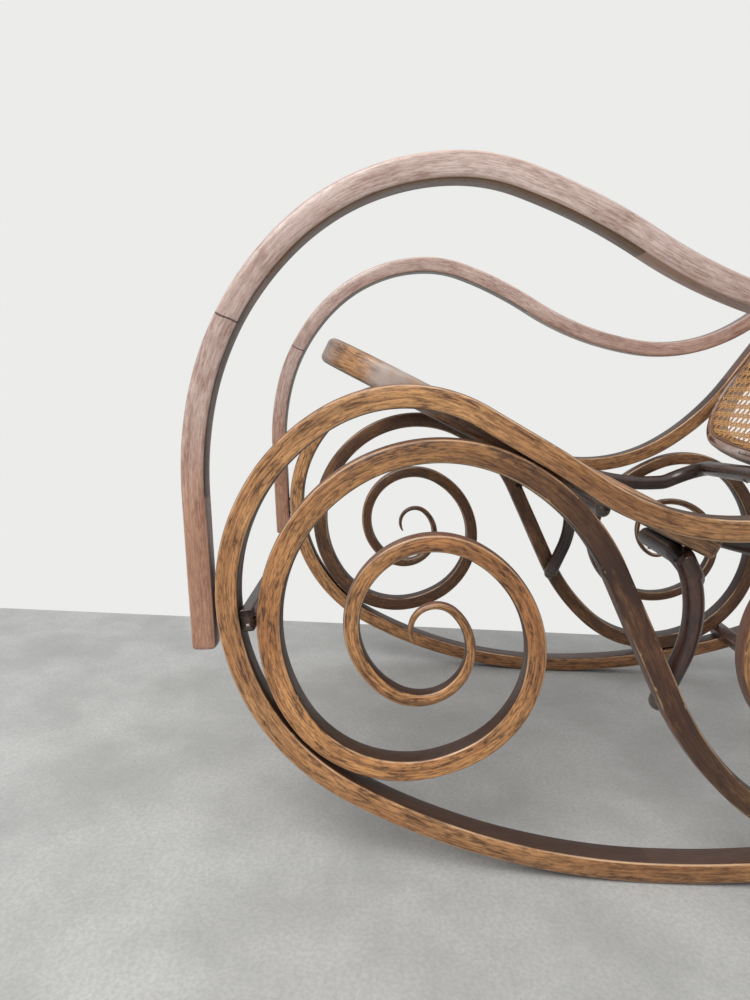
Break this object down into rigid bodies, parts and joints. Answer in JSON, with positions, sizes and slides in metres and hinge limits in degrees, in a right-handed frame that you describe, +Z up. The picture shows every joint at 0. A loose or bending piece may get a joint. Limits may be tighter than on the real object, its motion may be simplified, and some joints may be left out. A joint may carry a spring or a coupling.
{
  "type": "bentwood rocking chair",
  "caption": "Bentwood rocking chair with scrolled sides, arched arms, and a caned seat and back, on long curved runners.",
  "frame": {"origin": "on the floor under the middle of the chair's bounding box; the runners touch the floor 57.8 mm in front of it (at Y = -0.0578 m)", "axes": "+Z up, +Y towards the chair's back, +X towards the sitter's left; the sitter faces -Y"},
  "size_m": [0.5674, 1.0083, 0.9165],
  "materials": {
    "bent_wood": "stained and worn satin varnish, dark open grain",
    "frame_wood": "stained satin varnish, greyed by wear",
    "dark_wood": "near-black glossy varnish, rubbed through in places",
    "cane": "woven rattan cane in an octagonal weave, open holes",
    "reed_spline": "satin reed",
    "screw_steel": "dull aged steel"
  },
  "bodies": {
    "root": {"left_side_bow": "bent_wood", "right_side_bow": "bent_wood", "left_arm": "bent_wood", "right_arm": "bent_wood", "left_scroll": "bent_wood", "right_scroll": "bent_wood", "left_seat_brace": "dark_wood", "right_seat_brace": "dark_wood", "seat_frame": "frame_wood", "seat_cane": "cane", "seat_spline": "reed_spline", "back_frame": "frame_wood", "back_cane": "cane", "back_spline": "reed_spline", "back_bow": "dark_wood", "front_stretcher": "dark_wood", "rear_stretcher": "dark_wood", "arm_screws": "screw_steel", "scroll_screws": "screw_steel", "stretcher_screws": "screw_steel", "brace_screws": "screw_steel", "bow_screws": "screw_steel", "seat_screws": "screw_steel", "back_screws": "screw_steel"}
  },
  "joints": []
}
